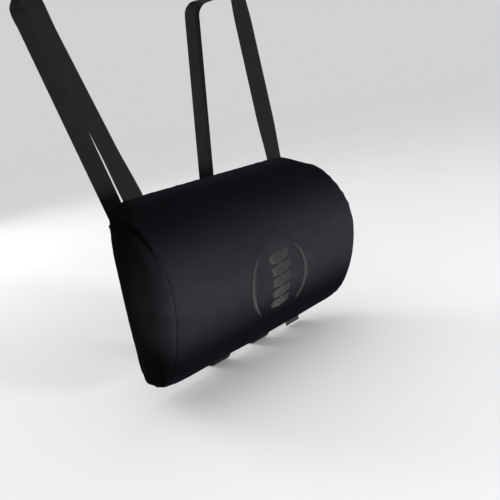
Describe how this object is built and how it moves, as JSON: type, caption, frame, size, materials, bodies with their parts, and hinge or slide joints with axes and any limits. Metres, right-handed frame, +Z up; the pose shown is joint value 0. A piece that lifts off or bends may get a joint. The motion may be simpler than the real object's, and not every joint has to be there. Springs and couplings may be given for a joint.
{
  "type": "lumbar support cushion",
  "caption": "D-shaped bolster cushion with a zipped cover and two adjustable strap loops with side-release buckles, which hold it on a chair's backrest.",
  "frame": {"origin": "on the cushion's flat back face, in the middle of its width, level with the deepest point of its front", "axes": "+Z up, +Y out of the back face towards the backrest, +X along the cushion's width to the sitter's left, which is the right when the cushion is seen from its front"},
  "size_m": [0.368, 0.226, 0.4981],
  "materials": {
    "velour": "short soft pile, blue-black, with a faint directional sheen",
    "emblem_thread": "satin-stitch embroidery, warm charcoal",
    "webbing": "flat woven polyester webbing, brownish black",
    "elastic": "ribbed woven elastic, brownish black",
    "buckle_plastic": "fine moulded texture, black",
    "zip_tape": "woven zip tape, black",
    "zip_coil": "nylon coil, black",
    "zip_metal": "dark nickel, worn at the edges",
    "liner_cloth": "white knitted sleeve",
    "foam": "cream open-cell foam",
    "label_satin": "blank black satin ribbon"
  },
  "bodies": {
    "cushion": {"front_panel": "velour", "left_end_panel": "velour", "right_end_panel": "velour", "back_panel_upper": "velour", "back_panel_lower": "velour", "inner_liner": "liner_cloth", "foam_core": "foam", "emblem_spine": "emblem_thread", "emblem_arc_left": "emblem_thread", "emblem_arc_right": "emblem_thread", "care_label": "label_satin", "zip_tape_upper": "zip_tape", "zip_tape_lower": "zip_tape", "zip_coil_upper": "zip_coil", "zip_coil_lower": "zip_coil", "zip_bottom_stop": "zip_metal", "zip_top_stop_upper": "zip_metal", "zip_top_stop_lower": "zip_metal", "left_upper_strap": "webbing", "left_strap_return": "webbing", "left_lower_strap": "elastic", "left_buckle_plug": "buckle_plastic", "right_upper_strap": "webbing", "right_strap_return": "webbing", "right_lower_strap": "elastic", "right_buckle_plug": "buckle_plastic"},
    "zip_slider": {"zip_slider": "zip_metal"},
    "zip_pull": {"zip_pull": "zip_metal"},
    "left_buckle_socket": {"left_buckle_socket": "buckle_plastic"},
    "left_tri_glide": {"left_tri_glide": "buckle_plastic"},
    "left_latch_arm_a": {"left_latch_arm_a": "buckle_plastic"},
    "left_latch_arm_b": {"left_latch_arm_b": "buckle_plastic"},
    "right_buckle_socket": {"right_buckle_socket": "buckle_plastic"},
    "right_tri_glide": {"right_tri_glide": "buckle_plastic"},
    "right_latch_arm_a": {"right_latch_arm_a": "buckle_plastic"},
    "right_latch_arm_b": {"right_latch_arm_b": "buckle_plastic"}
  },
  "joints": [
    {"name": "zip_slide", "type": "slide", "parent": "cushion", "child": "zip_slider", "axis": [-1, 0, 0], "range_m": [0, 0.28]},
    {"name": "zip_pull_swing", "type": "hinge", "parent": "zip_slider", "child": "zip_pull", "pos_m": [0.144, -0.0008, -0.062], "axis": [0, 0, -1], "range_deg": [0, 170]},
    {"name": "left_buckle_release", "type": "slide", "parent": "cushion", "child": "left_buckle_socket", "axis": [0.1986, -0.0735, -0.9773], "range_m": [0, 0.035], "deforming": ["left_lower_strap", "left_latch_arm_a", "left_latch_arm_b"]},
    {"name": "left_latch_squeeze", "type": "hinge", "parent": "cushion", "child": "left_latch_arm_a", "pos_m": [-0.0792, 0.09481, -0.01517], "axis": [0, -0.9972, 0.075], "range_deg": [0, 7], "stiffness_Nm_per_rad": 0.2},
    {"name": "left_latch_squeeze_b", "type": "hinge", "parent": "cushion", "child": "left_latch_arm_b", "pos_m": [-0.05528, 0.09517, -0.01034], "axis": [0, 0.9972, -0.075], "range_deg": [0, 7], "stiffness_Nm_per_rad": 0.2},
    {"name": "left_strap_adjust", "type": "slide", "parent": "cushion", "child": "left_tri_glide", "axis": [-0.1986, 0.0735, 0.9773], "range_m": [-0.015, 0.045], "deforming": ["left_strap_return"]},
    {"name": "right_buckle_release", "type": "slide", "parent": "cushion", "child": "right_buckle_socket", "axis": [-0.1986, -0.0735, -0.9773], "range_m": [0, 0.035], "deforming": ["right_lower_strap", "right_latch_arm_a", "right_latch_arm_b"]},
    {"name": "right_latch_squeeze", "type": "hinge", "parent": "cushion", "child": "right_latch_arm_a", "pos_m": [0.05528, 0.09517, -0.01034], "axis": [0, -0.9972, 0.075], "range_deg": [0, 7], "stiffness_Nm_per_rad": 0.2},
    {"name": "right_latch_squeeze_b", "type": "hinge", "parent": "cushion", "child": "right_latch_arm_b", "pos_m": [0.0792, 0.09481, -0.01517], "axis": [0, 0.9972, -0.075], "range_deg": [0, 7], "stiffness_Nm_per_rad": 0.2},
    {"name": "right_strap_adjust", "type": "slide", "parent": "cushion", "child": "right_tri_glide", "axis": [0.1986, 0.0735, 0.9773], "range_m": [-0.015, 0.045], "deforming": ["right_strap_return"]}
  ],
  "couplings": [
    {"joint": "left_latch_squeeze_b", "follows": "left_latch_squeeze", "ratio": 1},
    {"joint": "right_latch_squeeze_b", "follows": "right_latch_squeeze", "ratio": 1}
  ]
}
